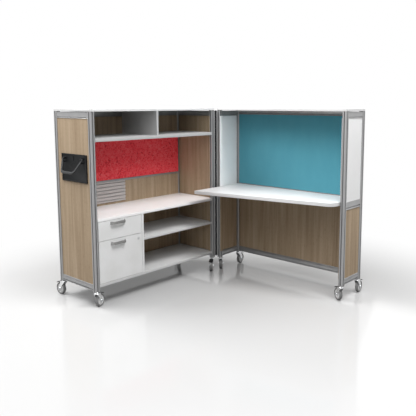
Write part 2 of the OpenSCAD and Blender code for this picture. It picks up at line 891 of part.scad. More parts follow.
module fork() {
  color(chrome) {
    translate([0, 0, crown_z]) {
      cylinder(h = crown_high + face_gap + stem_length, r = stem_radius);
      cylinder(h = crown_high / 2, r = crown_radius);
      translate([0, 0, crown_high / 2])
        cylinder(h = crown_high / 2, r1 = crown_radius, r2 = crown_radius - crown_high / 2);
    }
    translate([-fork_front, -fork_in - fork_thick / 2, crown_z - fork_thick])
      cube([2 * fork_front, 2 * fork_in + fork_thick, fork_thick]);
    for (y = [fork_in, -fork_out]) translate([0, y + fork_thick, 0]) rotate([90, 0, 0])
      linear_extrude(fork_thick) {
        polygon([[-fork_front, crown_z], [fork_back, crown_z], [fork_back, fork_edge],
          [trail + leg_half, wheel_radius], [trail - leg_half, wheel_radius]]);
        translate([trail, wheel_radius]) circle(leg_half);
      }
    sideways(trail, wheel_radius, 2 * (fork_out + head_thick), axle_radius);
    for (s = [-1, 1]) translate([0, s * (fork_out + head_thick / 2), 0])
      sideways(trail, wheel_radius, head_thick, head_radius);
    sideways(pin_at, pin_z, 2 * fork_in + fork_thick, brake_pin);
  }
}

module wheel() {
  color(tyre_grey) translate([trail, 0, wheel_radius]) rotate([90, 0, 0]) difference() {
    rotate_extrude() polygon(concat(
      [for (p = wheel_shares) [p[0] * wheel_radius, p[1] * wheel_wide / 2]],
      [for (i = [len(wheel_shares) - 1 : -1 : 0])
        [wheel_shares[i][0] * wheel_radius, -wheel_shares[i][1] * wheel_wide / 2]]));
    cylinder(h = wheel_wide + 2 * past, r = axle_radius + run_fit, center = true);
  }
}

module brake() {
  color(black) translate([pin_at, 0, pin_z]) difference() {
    union() {
      sideways(0, 0, 2 * (fork_in - face_gap), brake_barrel);
      rotate([0, pedal_slope, 0]) {
        translate([0, -wheel_wide / 2, 0]) cube([tread_at, wheel_wide, pedal_thick]);
        translate([tread_at, -pedal_wide / 2, 0])
          cube([pedal_long - tread_at, pedal_wide, pedal_thick]);
      }
    }
    sideways(0, 0, 2 * fork_in, brake_pin + run_fit);
  }
}

module storage_front_far_fork() {
  storage_front_far() fork();
}

module storage_front_far_wheel() {
  storage_front_far() wheel();
}

module storage_front_far_brake() {
  storage_front_far() brake();
}

module storage_back_far_fork() {
  storage_back_far() fork();
}

module storage_back_far_wheel() {
  storage_back_far() wheel();
}

module storage_back_far_brake() {
  storage_back_far() brake();
}

module storage_back_near_fork() {
  storage_back_near() fork();
}

module storage_back_near_wheel() {
  storage_back_near() wheel();
}

module storage_back_near_brake() {
  storage_back_near() brake();
}

module storage_front_near_fork() {
  storage_front_near() fork();
}

module storage_front_near_wheel() {
  storage_front_near() wheel();
}

module storage_front_near_brake() {
  storage_front_near() brake();
}

module desk_front_near_fork() {
  desk_front_near() fork();
}

module desk_front_near_wheel() {
  desk_front_near() wheel();
}

module desk_front_near_brake() {
  desk_front_near() brake();
}

module desk_front_far_fork() {
  desk_front_far() fork();
}

module desk_front_far_wheel() {
  desk_front_far() wheel();
}

module desk_front_far_brake() {
  desk_front_far() brake();
}

module desk_back_far_fork() {
  desk_back_far() fork();
}

module desk_back_far_wheel() {
  desk_back_far() wheel();
}

module desk_back_far_brake() {
  desk_back_far() brake();
}

module desk_back_near_fork() {
  desk_back_near() fork();
}

module desk_back_near_wheel() {
  desk_back_near() wheel();
}

module desk_back_near_brake() {
  desk_back_near() brake();
}

storage_posts();
storage_rails();
storage_wood_panels();
storage_top();
overhead_shelf();
shelf_divider();
red_tackboard();
slatted_board();
credenza_top();
pedestal_side();
middle_shelf();
bottom_panel();
drawer_slides_and_lock_rail();
handle_plate();
storage_hinge_leaf_and_pin();
bail_handle();
box_drawer_box();
box_drawer_front();
box_drawer_pull();
box_drawer_middle_slides();
file_drawer_box();
file_drawer_front();
file_drawer_pull();
file_drawer_middle_slides();
drawer_lock();
desk_posts();
desk_rails();
desk_wood_panels();
desk_white_panels();
desk_top();
blue_tackboard();
worktop();
worktop_brackets();
desk_hinge_leaf();
storage_front_far_fork();
storage_front_far_wheel();
storage_front_far_brake();
storage_back_far_fork();
storage_back_far_wheel();
storage_back_far_brake();
storage_back_near_fork();
storage_back_near_wheel();
storage_back_near_brake();
storage_front_near_fork();
storage_front_near_wheel();
storage_front_near_brake();
desk_front_near_fork();
desk_front_near_wheel();
desk_front_near_brake();
desk_front_far_fork();
desk_front_far_wheel();
desk_front_far_brake();
desk_back_far_fork();
desk_back_far_wheel();
desk_back_far_brake();
desk_back_near_fork();
desk_back_near_wheel();
desk_back_near_brake();
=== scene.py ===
# %% [markdown]
# # A fold-up workstation on casters
# Two post-and-rail cases stand open at a right angle: a storage unit on the left and a
# desk unit on the right, joined along one corner by a hinge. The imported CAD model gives
# every place and size. This script dresses it: each piece gets the edges, flutes and
# finish of the real one, and rides on the CAD body that it belongs to.

# %% Loading the model
import json
import math

import bmesh
import bpy
import numpy as np
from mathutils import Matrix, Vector

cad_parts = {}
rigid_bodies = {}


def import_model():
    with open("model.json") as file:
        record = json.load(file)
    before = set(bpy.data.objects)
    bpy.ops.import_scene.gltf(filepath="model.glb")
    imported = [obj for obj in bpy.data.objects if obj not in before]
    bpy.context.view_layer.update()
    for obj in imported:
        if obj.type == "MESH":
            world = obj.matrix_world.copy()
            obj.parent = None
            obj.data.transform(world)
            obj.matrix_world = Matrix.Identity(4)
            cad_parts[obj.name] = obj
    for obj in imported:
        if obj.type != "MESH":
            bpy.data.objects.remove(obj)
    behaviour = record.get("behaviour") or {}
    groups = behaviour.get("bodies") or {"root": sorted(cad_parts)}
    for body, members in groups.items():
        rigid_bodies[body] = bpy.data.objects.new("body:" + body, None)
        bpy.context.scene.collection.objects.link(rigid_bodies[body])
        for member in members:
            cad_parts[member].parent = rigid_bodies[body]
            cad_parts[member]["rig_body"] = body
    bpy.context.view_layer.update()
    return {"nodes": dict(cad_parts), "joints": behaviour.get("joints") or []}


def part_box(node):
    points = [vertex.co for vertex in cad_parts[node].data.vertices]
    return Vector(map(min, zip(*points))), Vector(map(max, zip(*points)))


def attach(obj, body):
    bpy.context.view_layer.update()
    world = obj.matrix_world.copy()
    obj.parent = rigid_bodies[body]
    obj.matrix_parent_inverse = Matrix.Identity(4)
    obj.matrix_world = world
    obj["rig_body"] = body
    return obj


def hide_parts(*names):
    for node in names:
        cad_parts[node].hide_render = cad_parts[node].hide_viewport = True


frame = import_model()
nodes = frame["nodes"]

# %% [markdown]
# Each unit has axes of its own: along its front from the hinge end, back from its front,
# and up. They are turned into the model's axes with numbers read from the CAD nodes, so
# that a dressed piece lands where its solid is. Lengths are written in millimetres.

# %% Places
MM = 0.001
storage_low, storage_high = (np.array(corner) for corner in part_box("storage_posts"))
desk_low, desk_high = (np.array(corner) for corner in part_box("desk_posts"))
UNIT_WIDTH = (storage_high[1] - storage_low[1]) / MM
STORAGE_DEPTH = (storage_high[0] - storage_low[0]) / MM
DESK_DEPTH = (desk_high[1] - desk_low[1]) / MM
POST_FOOT, POST_TOP = storage_low[2] / MM, storage_high[2] / MM


def in_storage(points):
    """Millimetres (along, back, up) to metres: x = front - back, y = hinge end - along."""
    p = np.asarray(points, float) * MM
    return np.stack([storage_high[0] - p[..., 1], storage_high[1] - p[..., 0], p[..., 2]], -1)


def in_desk(points):
    """Millimetres (along, back, up) to metres: x = hinge end + along, y = front + back."""
    p = np.asarray(points, float) * MM
    return np.stack([desk_low[0] + p[..., 0], desk_low[1] + p[..., 1], p[..., 2]], -1)


UNITS = {"storage": (in_storage, STORAGE_DEPTH, "storage_unit"),
         "desk": (in_desk, DESK_DEPTH, "desk_unit")}
HINGE = (storage_high + desk_low) / 2  # the hinge's axis runs midway between the two nearest posts
print(f"units {UNIT_WIDTH:.0f} wide, {STORAGE_DEPTH:.0f} and {DESK_DEPTH:.0f} deep; hinge at {HINGE[:2]}")

# %% [markdown]
# The camera stands at the photograph's place: about eye height of someone sitting on a
# high stool, over four metres from the hinge, looking slightly down between the two units.
# It could be placed by eye, but the posts' upright and receding edges in the photograph
# fix it better. Its place is kept from the hinge's axis.

# %% Camera
camera = bpy.data.objects.new("camera", bpy.data.cameras.new("camera"))
bpy.context.scene.collection.objects.link(camera)
EYE = (3.18577, -3.44197, 1.45400)  # metres from the hinge's foot
LOOK_DOWN, TURN = 0.128202, 0.712893  # radians: 7.3 degrees down, 41 degrees left of straight on
camera.location = (HINGE[0] + EYE[0], HINGE[1] + EYE[1], EYE[2])
camera.rotation_euler = (math.pi / 2 - LOOK_DOWN, 0, TURN)
camera.data.sensor_width = 36
camera.data.lens = 47.28
camera.data.shift_x = -0.0630
camera.data.shift_y = -0.0813
bpy.context.scene.camera = camera
print("camera at", tuple(camera.location), "lens", camera.data.lens)

# %% [markdown]
# Every finish starts from the real material and from colours written as on a colour
# card. One function turns such a hex value into the linear numbers that light uses, and
# one adds a node with its settings and links.

# %% Colour and node helpers


def linear(code):
    """sRGB hex to linear: c / 12.92 below 0.04045, else ((c + 0.055) / 1.055) ** 2.4."""
    c = np.array([int(code[i:i + 2], 16) for i in (1, 3, 5)]) / 255
    return (*np.where(c <= 0.04045, c / 12.92, ((c + 0.055) / 1.055) ** 2.4), 1.0)


def add(tree, kind, inputs=None, stops=(), output=None, **settings):
    """Adds a node and gives its output. An input is a value, a hex colour or another node's output."""
    node = tree.nodes.new("ShaderNode" + kind)
    for name, value in settings.items():
        setattr(node, name, value)
    for key, value in (inputs or {}).items():
        socket = node.inputs[key] if isinstance(key, int) else next(
            i for i in node.inputs if i.enabled and i.name == key)
        if isinstance(value, bpy.types.NodeSocket):
            tree.links.new(value, socket)
        else:
            socket.default_value = linear(value) if isinstance(value, str) else value
    while len(stops) > 2 and len(node.color_ramp.elements) < len(stops):
        node.color_ramp.elements.new(0.5)
    for index, (position, code) in enumerate(stops):
        node.color_ramp.elements[index].position = position
        node.color_ramp.elements[index].color = linear(code)
    if output:
        return node.outputs[output]
    return next((o for o in node.outputs if o.enabled), None)


def new_finish(name):
    """An empty material, its node tree, and the piece's own coordinates in it."""
    material = bpy.data.materials.new(name)
    material.use_nodes = True
    material.node_tree.nodes.clear()
    return material, material.node_tree, add(material.node_tree, "TexCoord", output="Object")


def per_mm(*period):
    """Mapping scale for a pattern that repeats every so many millimetres along x, y and z."""
    return tuple(1 / (MM * p) for p in period)


# %% [markdown]
# The frame is extruded aluminium, satin anodised. The fine lines that the die leaves run
# along the bars and break the highlight up; a slow drift in tone comes from the anodising
# bath. A picture of brushed metal could be used, but two noises stretched along the bars
# give the same and need no file. The metal keeps the default IOR, and the oxide's milky
# layer takes some of its metallic look off.

# %% Aluminium


def anodised(name, light, dark, rough):
    """Die lines set roughness and bump; a slow drift along the bar runs between two tones."""
    material, tree, place = new_finish(name)
    # die lines are under 0.1 mm apart; drawn 1.5 mm apart so that they show
    lines, drift = (
        add(tree, "TexNoise", {"Vector": add(tree, "Mapping", {"Vector": place, "Scale": per_mm(*size)}),
                               "Scale": 1.0, "Detail": 2.0})
        for size in ((1.5, 1.5, 600), (60, 60, 400)))
    tone = add(tree, "ValToRGB", {"Fac": drift}, [(0.3, dark), (0.7, light)])
    polish = add(tree, "MapRange", {"Value": lines, "To Min": rough - 0.06, "To Max": rough + 0.1})
    bump = add(tree, "Bump", {"Height": lines, "Strength": 0.5, "Distance": 0.02 * MM})
    shader = add(tree, "BsdfPrincipled", {"Base Color": tone, "Metallic": 0.55, "Roughness": polish,
                                          "Normal": bump})
    add(tree, "OutputMaterial", {"Surface": shader})
    return material


# extruded and satin anodised: a soft grey sheen, streaked along the bar
ALUMINIUM = anodised("anodised_aluminium", "#A5A5A5", "#9B9B9C", 0.3)
print("finish", ALUMINIUM.name)

# %% [markdown]
# The wood is a printed oak laminate with its grain upright on every panel. Real oak
# veneer shows soft bands a few centimetres wide, finer streaks of a few millimetres
# inside them, and short dark pores. A photograph of veneer could be laid on, but three
# stretched noises give these three and never repeat. All pieces share one origin, so the
# grain runs on from a panel to the skin beside it.

# %% Oak laminate


def oak(name, light, middle, dark):
    """Bands and streaks are mixed and coloured, then darkened where the pores are."""
    material, tree, place = new_finish(name)
    bands, streaks, pores = (
        add(tree, "TexNoise", {"Vector": add(tree, "Mapping", {"Vector": place, "Scale": per_mm(*size)}),
                               "Scale": 1.0, "Detail": detail, "Roughness": rough, "Distortion": warp})
        for size, detail, rough, warp in (((38, 38, 900), 3.0, 0.45, 0.6), ((7, 7, 420), 4.0, 0.6, 0.3),
                                          ((1.6, 1.6, 34), 2.0, 0.5, 0.0)))
    grain = add(tree, "Mix", {"Factor": 0.42, "A": bands, "B": streaks}, data_type="FLOAT")
    body = add(tree, "ValToRGB", {"Fac": grain}, [(0.32, dark), (0.5, middle), (0.66, light)])
    pits = add(tree, "ValToRGB", {"Fac": pores}, [(0.6, "#FFFFFF"), (0.74, "#C9C2B8")])
    tone = add(tree, "Mix", {"Factor": 1.0, "A": body, "B": pits}, data_type="RGBA", blend_type="MULTIPLY")
    polish = add(tree, "MapRange", {"Value": streaks, "To Min": 0.44, "To Max": 0.6})
    bump = add(tree, "Bump", {"Height": pores, "Strength": 0.4, "Distance": 0.05 * MM})
    shader = add(tree, "BsdfPrincipled", {"Base Color": tone, "Roughness": polish, "Normal": bump,
                                          "Specular IOR Level": 0.2})
    add(tree, "OutputMaterial", {"Surface": shader})
    return material


# printed and pressed: warm grey-brown with upright grain and next to no gloss
OAK = oak("oak_laminate", "#BDA88F", "#AF9A80", "#9B856C")
print("finish", OAK.name)

# %% [markdown]
# Worktop, shelves and drawer fronts are white melamine-faced board. Melamine is a hard,
# even, eggshell skin: almost no colour change, a very fine orange-peel texture, and a
# slightly duller band of smudges where hands pass. Small parts have coatings of their
# own: grey lacquer, black powder coat, moulded nylon, zinc, nickel, chrome and rubber.
# All of these are a tone that drifts slowly, a polish that follows it, and a fine grit.
# Each could have a node tree of its own, but one function keeps them easy to compare.

# %% Coatings, metals, plastics and rubber


def coating(name, code, worn, rough, grit_mm, depth=0.05, cloud_mm=(12, 12, 12), metallic=0.0, level=0.5):
    """A slow drift between two tones, roughness that follows it, and a grit of a given size."""
    material, tree, place = new_finish(name)
    cloud, grit = (
        add(tree, "TexNoise", {"Vector": add(tree, "Mapping", {"Vector": place, "Scale": per_mm(*size)}),
                               "Scale": 1.0, "Detail": 3.0})
        for size in (cloud_mm, (grit_mm,) * 3))
    tone = add(tree, "ValToRGB", {"Fac": cloud}, [(0.35, worn), (0.62, code)])
    polish = add(tree, "MapRange", {"Value": cloud, "To Min": rough + 0.07, "To Max": rough - 0.05})
    bump = add(tree, "Bump", {"Height": grit, "Strength": 0.5, "Distance": depth * MM})
    shader = add(tree, "BsdfPrincipled", {"Base Color": tone, "Metallic": metallic, "Roughness": polish,
                                          "Normal": bump, "Specular IOR Level": level})
    add(tree, "OutputMaterial", {"Surface": shader})
    return material


# melamine-faced board, pressed: even eggshell white. The press texture is about 0.3 mm;
# drawn at 2 mm. All these boards are one white melamine. The shelves are a greyer white
# than the drawers, the ends and the top, which is painted shade for their shaded bays; the
# tops are a little darker than the ends as painted shade against the overhead lamp, and
# the credenza top is lighter than the drawers as painted light.
PRESSED = {"grit_mm": 2, "depth": 0.02, "cloud_mm": (160, 160, 160)}
WHITE = coating("white_melamine", "#E8E8E8", "#E2E2E1", 0.4, level=0.25, **PRESSED)
# the credenza top: white melamine painted lighter than the drawers, as painted light
LIT_CREDENZA_WHITE = coating("credenza_white_painted_light", "#FAF9F9", "#F7F5F4", 0.36, level=0.35, **PRESSED)
# the tops and worktop: white melamine painted a little darker, as painted shade against the overhead lamp
SHADED_TOP_WHITE = coating("white_top_melamine_painted_shade", "#E0E0E0", "#DBDBDB", 0.36, level=0.25, **PRESSED)
# the overhead shelf and divider: white melamine painted grey, as painted shade for the overhead bays
SHADED_SHELF_WHITE = coating("white_overhead_shelf_painted_shade", "#BABABA", "#B4B4B4", 0.42, level=0.2, **PRESSED)
# the middle and bottom shelves: white melamine painted greyer, as painted shade for the lower bays
SHADED_LOWER_WHITE = coating("white_lower_shelf_painted_shade", "#D2D2D2", "#CCCCCC", 0.42, level=0.2, **PRESSED)
PANEL_WHITE = coating("white_end_panel", "#FAFAFA", "#F7F7F7", 0.45, level=0.25, **PRESSED)
# sprayed lacquer and paint: a dull sheen with a fine grain
SLAT_GREY = coating("grey_lacquer", "#C6C0BE", "#CDC8C6", 0.45, 1.5, level=0.3)
# the drawer boxes: grey painted steel, in a darker grey that also paints shade into the gaps between the drawer
# fronts
GAP_SHADE_BOX_GREY = coating("grey_drawer_steel_gap_shade", "#7C7D7E", "#747576", 0.45, 1.5, level=0.3)
TRIM = coating("tackboard_edging", "#8F8380", "#857976", 0.45, 2.0)
# powder coat and moulded plastic: near black, with a grit that breaks the highlights up
BLACK_COAT = coating("black_powder_coat", "#141516", "#1B1C1D", 0.5, 1.2, level=0.12)
BLACK_STRAP = coating("black_moulded_strap", "#292A2B", "#323334", 0.5, 1.6, 0.08, level=0.25)
SEAL_BLACK = coating("black_hinge_seal", "#1B1B1C", "#242425", 0.6, 1.5, level=0.2)
BLACK_NYLON = coating("moulded_black_nylon", "#0F0F10", "#18181A", 0.42, 1.0)
# plated steel and die-cast zinc: clear metal, from dull and spangled to a mirror
SATIN_ZINC = coating("satin_lock_face", "#CFD0D1", "#C6C7C8", 0.3, 2.0, metallic=0.4)
ZINC = coating("zinc_plated_steel", "#B4B7BA", "#A2A5A9", 0.36, 3.0, metallic=1.0)
NICKEL = coating("brushed_nickel", "#989897", "#888887", 0.28, 1.0, 0.02, (40, 40, 3), metallic=1.0)
CHROME = coating("bright_chrome", "#EDEEEF", "#E4E5E6", 0.13, 6.0, 0.01, metallic=1.0)
# soft grey rubber on a glossy moulded centre
TYRE = coating("grey_caster_rubber", "#7C7C7C", "#868686", 0.25, 1.0)
WHEEL_GREY = coating("moulded_wheel_centre", "#E2E2E2", "#DADADA", 0.15, 1.2)
print(len(bpy.data.materials), "finishes so far")

# %% [markdown]
# The long tackboard is wrapped in heathered wool felt: red fibres with darker ones mixed
# in, matted so that no thread shows. Clumps of fibre are a few millimetres to three
# centimetres across. The desk's board has a plain woven cloth, whose threads are half a
# millimetre apart, with fuzz that lightens it at a slant. Both are glued over a flat core,
# so no cloth has to be draped here: the finish and a rounded edge are what they need.

# %% Felt and cloth
RED_FELT, tree, place = new_finish("heathered_red_felt")
clumps, fibres = (
    add(tree, "TexNoise", {"Vector": add(tree, "Mapping", {"Vector": place, "Scale": per_mm(size, size, size)}),
                           "Scale": 1.0, "Detail": 7.0, "Roughness": 0.73, "Distortion": warp})
    for size, warp in ((30, 1.6), (6, 1.5)))
# matting draws the lighter fibres together into uneven creases, some 34 mm apart
crumple = add(tree, "TexNoise", {"Vector": add(tree, "Mapping", {"Vector": place, "Scale": per_mm(34, 34, 34)}),
                                 "Scale": 1.0, "Detail": 3.0, "Roughness": 0.6, "Distortion": 2.2})
middle = add(tree, "Math", {0: crumple, 1: 0.5}, operation="SUBTRACT")
ridge = add(tree, "Math", {0: middle}, operation="ABSOLUTE")
crease = add(tree, "MapRange", {"Value": ridge, "From Max": 0.05, "To Min": 0.13, "To Max": 0.0})
mixed = add(tree, "Mix", {"Factor": 0.25, "A": clumps, "B": fibres}, data_type="FLOAT")
heather = add(tree, "Math", {0: mixed, 1: crease}, operation="ADD")
tone = add(tree, "ValToRGB", {"Fac": heather}, [(0.40, "#B02C37"), (0.47, "#FD454F"), (0.55, "#FF5860"),
                                                (0.68, "#FF8489")])
bump = add(tree, "Bump", {"Height": fibres, "Strength": 0.6, "Distance": 0.5 * MM})
# matted wool: no gloss, and a red fuzz that catches the light
shader = add(tree, "BsdfPrincipled", {"Base Color": tone, "Roughness": 0.95, "Normal": bump,
                                      "Sheen Weight": 0.8, "Sheen Roughness": 0.7, "Sheen Tint": "#FF4048",
                                      "Specular IOR Level": 0.05})
add(tree, "OutputMaterial", {"Surface": shader})

BLUE_CLOTH, tree, place = new_finish("woven_teal_cloth")
# threads are 0.5 mm apart; drawn 3 mm apart so that they show
threads = add(tree, "Mapping", {"Vector": place, "Scale": per_mm(3, 3, 3)})
weft, warp = (add(tree, "TexWave", {"Vector": threads, "Scale": 0.16, "Distortion": 0.6, "Detail": 1.0},
                  wave_type="BANDS", bands_direction=d, output="Fac") for d in ("X", "Z"))
cross = add(tree, "Math", {0: weft, 1: warp}, operation="MULTIPLY")
cloud = add(tree, "TexNoise", {"Vector": add(tree, "Mapping", {"Vector": place, "Scale": per_mm(90, 90, 260)}),
                               "Scale": 1.0, "Detail": 5.0, "Roughness": 0.6})
mixed = add(tree, "Mix", {"Factor": 0.25, "A": cloud, "B": cross}, data_type="FLOAT")
tone = add(tree, "ValToRGB", {"Fac": mixed}, [(0.2, "#4A8FA0"), (0.6, "#5196A6")])
bump = add(tree, "Bump", {"Height": cross, "Strength": 0.5, "Distance": 0.25 * MM})
# plain weave, stretched: flat and even, with a little fuzz
shader = add(tree, "BsdfPrincipled", {"Base Color": tone, "Roughness": 0.9, "Normal": bump,
                                      "Sheen Weight": 0.12, "Sheen Roughness": 0.5, "Specular IOR Level": 0.2})
add(tree, "OutputMaterial", {"Surface": shader})
print("finishes", RED_FELT.name, BLUE_CLOTH.name)

# %% [markdown]
# Flat panels, drawer boxes, slides, the lock, brackets and hinge leaves have the right
# shape as they are. They could be drawn again, but keeping the CAD mesh is surer, and
# only its finish is given here.

# %% Finishes on CAD nodes


def paint(obj, material):
    """The object's only finish."""
    obj.data.materials.clear()
    obj.data.materials.append(material)


CAD_FINISH = {
    OAK: ["storage_wood_panels", "desk_wood_panels"],
    PANEL_WHITE: ["desk_white_panels"], GAP_SHADE_BOX_GREY: ["box_drawer_box", "file_drawer_box"],
    SATIN_ZINC: ["drawer_lock"],
    ZINC: ["drawer_slides_and_lock_rail", "box_drawer_middle_slides", "file_drawer_middle_slides",
           "worktop_brackets"],
    BLACK_COAT: ["storage_hinge_leaf_and_pin", "desk_hinge_leaf"],
}
for material, names in CAD_FINISH.items():
    for name in names:
        paint(nodes[name], material)
print("finished", sum(len(names) for names in CAD_FINISH.values()), "CAD nodes as they are")

# %% [markdown]
# New shapes are surfaces worked out on a grid: the points are one array, the faces join
# neighbours, and the two ends are closed with one face each. A prism carries a flat
# outline along a straight line, as an extruder does; a lathe turns a profile round an
# axis. Blender's curves and Screw modifier could do both; with arrays each point's formula
# stays in view.

# %% Surface helpers


def grid_faces(rows, columns, wrap_rows=False, wrap_columns=True):
    """Quads between neighbours of a rows x columns grid, as an n x 4 array."""
    r = np.arange(rows if wrap_rows else rows - 1)[:, None]
    c = np.arange(columns if wrap_columns else columns - 1)[None, :]
    r2, c2 = (r + 1) % rows, (c + 1) % columns
    corners = [r * columns + c, r * columns + c2, r2 * columns + c2, r2 * columns + c]
    shape = np.broadcast_shapes(r.shape, c.shape)
    return np.stack([np.broadcast_to(k, shape) for k in corners], -1).reshape(-1, 4)


def piece(name, points, faces, body, material, slot, smooth_angle=35, bevel_mm=0):
    """A mesh object whose faces are turned outwards, on its body, smooth up to an angle."""
    mesh = bpy.data.meshes.new(name)
    mesh.from_pydata(np.asarray(points, float).reshape(-1, 3).tolist(), [], [list(map(int, f)) for f in faces])
    bm = bmesh.new()
    bm.from_mesh(mesh)
    bmesh.ops.remove_doubles(bm, verts=bm.verts, dist=1e-6)
    bmesh.ops.recalc_face_normals(bm, faces=bm.faces)
    bm.to_mesh(mesh)
    bm.free()
    obj = bpy.data.objects.new(name, mesh)
    bpy.context.scene.collection.objects.link(obj)
    if bevel_mm:
        round_edges(obj, bevel_mm, 2)
    shade(obj, smooth_angle)
    paint(obj, material)
    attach(obj, body)
    return obj


def round_edges(obj, width_mm, segments):
    """A bevel on every edge sharper than 40 degrees."""
    bevel = obj.modifiers.new("soft_edges", "BEVEL")
    bevel.width = width_mm * MM
    bevel.segments = segments
    bevel.limit_method = "ANGLE"
    bevel.angle_limit = math.radians(40)


def shade(obj, angle):
    """Smooth faces, sharp edges over the angle in degrees."""
    mesh = obj.data
    mesh.polygons.foreach_set("use_smooth", np.ones(len(mesh.polygons), bool))
    mesh.set_sharp_from_angle(angle=math.radians(angle))


def joined(parts):
    """Several (points, faces) as one."""
    points, faces, start = [], [], 0
    for p, f in parts:
        p = np.asarray(p, float).reshape(-1, 3)
        points.append(p)
        faces += [[start + int(i) for i in face] for face in f]
        start += len(p)
    return np.concatenate(points), faces


def loft(rings):
    """Rings of equally many points joined in order and closed with a face at each end."""
    rings = np.asarray(rings, float)
    count, n = rings.shape[:2]
    ends = [list(range(n)), list(range((count - 1) * n, count * n))]
    return rings.reshape(-1, 3), grid_faces(count, n).tolist() + ends


def prism(outline, place, low, high):
    """An outline (a, b) carried from low to high: point = place(a, b, t), closed at both ends."""
    outline = np.asarray(outline, float)
    return loft([place(outline[:, 0], outline[:, 1], np.full(len(outline), t)) for t in (low, high)])


def frame_strip(place, outer, width, low, high):
    """A flat frame of one width round a rectangle (a0, b0, a1, b1), standing from low to high."""
    a0, b0, a1, b1 = outer
    corners = np.array([[a0, b0], [a1, b0], [a1, b1], [a0, b1]])
    inset = corners + width * np.array([[1, 1], [-1, 1], [-1, -1], [1, -1]])
    rings = [place(c[:, 0], c[:, 1], np.full(4, t)) for c, t in
             ((corners, low), (corners, high), (inset, high), (inset, low))]
    return np.stack(rings).reshape(-1, 3), grid_faces(4, 4, wrap_rows=True).tolist()


def lathe(profile, origin, axis, steps=48):
    """A profile (radius, along) turned round an axis: p = o + along*a + radius*(u cos t + v sin t)."""
    profile, axis = np.asarray(profile, float) * MM, np.asarray(axis, float)
    axis = axis / np.linalg.norm(axis)
    u = np.cross(axis, (0, 0, 1.0) if abs(axis[2]) < 0.9 else (1.0, 0, 0))
    u /= np.linalg.norm(u)
    v = np.cross(axis, u)
    t = np.linspace(0, 2 * math.pi, steps, endpoint=False)
    ring = np.cos(t)[:, None] * u + np.sin(t)[:, None] * v
    points = np.asarray(origin, float) + profile[:, None, 1:] * axis + profile[:, None, :1] * ring[None]
    faces = grid_faces(len(profile), steps).tolist()
    return points.reshape(-1, 3), faces


# %% [markdown]
# Boards have slightly rounded edges, which catch a thin line of light. They could be built
# again from boxes, but their outlines are in the CAD model already: the solid is copied,
# its loose triangles are merged into clean faces, and a bevel rounds every sharp edge.
# The copy then stands for the solid. Pulls, handle plate and tackboards are done likewise,
# and so are the casters' forks and pedal levers further on.

# %% Softened boards


def soften(node, name, width_mm, material, segments=3):
    """Copies a CAD node, merges it, and rounds its edges by width_mm."""
    source = nodes[node]
    bm = bmesh.new()
    bm.from_mesh(source.data)
    bmesh.ops.remove_doubles(bm, verts=bm.verts, dist=1e-6)
    bmesh.ops.dissolve_limit(bm, angle_limit=math.radians(0.5), verts=bm.verts, edges=bm.edges)
    mesh = bpy.data.meshes.new(name)
    bm.to_mesh(mesh)
    bm.free()
    obj = bpy.data.objects.new(name, mesh)
    bpy.context.scene.collection.objects.link(obj)
    paint(obj, material)
    round_edges(obj, width_mm, segments)
    shade(obj, 50)
    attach(obj, source["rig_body"])
    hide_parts(node)
    return obj


BOARDS = [("storage_top", 2.0, SHADED_TOP_WHITE), ("desk_top", 2.0, SHADED_TOP_WHITE),
          ("overhead_shelf", 1.2, SHADED_SHELF_WHITE), ("shelf_divider", 1.0, SHADED_SHELF_WHITE),
          ("credenza_top", 1.5, LIT_CREDENZA_WHITE), ("pedestal_side", 1.0, WHITE),
          ("middle_shelf", 1.2, SHADED_LOWER_WHITE), ("bottom_panel", 1.2, SHADED_LOWER_WHITE),
          ("box_drawer_front", 1.2, WHITE), ("file_drawer_front", 1.2, WHITE),
          ("worktop", 2.5, SHADED_TOP_WHITE)]
softened = [soften(node, node + "_board", width, material)
            for node, width, material in BOARDS]
softened += [soften(node, node + "_strap", 1.2, NICKEL)
             for node in ("box_drawer_pull", "file_drawer_pull")]
softened.append(soften("handle_plate", "handle_plate_cast", 1.0, BLACK_COAT))
softened.append(soften("red_tackboard", "red_tackboard_felt", 2.5, RED_FELT))
softened.append(soften("blue_tackboard", "blue_tackboard_cloth", 2.5, BLUE_CLOTH))
print("softened", len(softened), "pieces")

# %% [markdown]
# The posts are square extrusions with a fitting slot down the middle of each face. The
# slots are what stripes the posts light and dark in the photograph. They could be cut
# with Boolean modifiers, but an outline that holds all four slots, carried from foot to
# top, gives cleaner faces.

# %% Slotted posts
POST_SIDE, POST_CORNER, SLOT_WIDE, SLOT_DEEP, SLOT_LIP = 35.0, 5.0, 9.0, 10.0, 1.0


def post_outline():
    """A square with round corners; each side is flat, down into the slot, and flat again."""
    h, r, w = POST_SIDE / 2, POST_CORNER, SLOT_WIDE / 2
    slot = np.array([[-w - SLOT_LIP, -h], [-w, -h + SLOT_LIP], [-w, -h + SLOT_DEEP],
                     [w, -h + SLOT_DEEP], [w, -h + SLOT_LIP], [w + SLOT_LIP, -h]])
    turn = np.linspace(-math.pi / 2, 0, 6)
    corner = np.stack([h - r + r * np.cos(turn), -h + r + r * np.sin(turn)], -1)
    quarter = np.concatenate([slot, corner])
    outline = []
    for k in range(4):
        c, q = math.cos(k * math.pi / 2), math.sin(k * math.pi / 2)
        outline.append(quarter @ np.array([[c, q], [-q, c]]))
    return np.concatenate(outline)


for unit, (place_in, depth, body) in UNITS.items():
    parts = []
    for along in (POST_SIDE / 2, UNIT_WIDTH - POST_SIDE / 2):
        for back in (POST_SIDE / 2, depth - POST_SIDE / 2):
            parts.append(prism(post_outline(), lambda a, b, t, u=along, v=back, f=place_in:
                               f(np.stack([u + a, v + b, t], -1)), POST_FOOT, POST_TOP))
    posts = piece(f"{unit}_post_extrusions", *joined(parts), body, ALUMINIUM, "aluminium", 30)
    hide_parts(f"{unit}_posts")
    print(unit, len(parts), "posts", POST_TOP - POST_FOOT, "mm long")

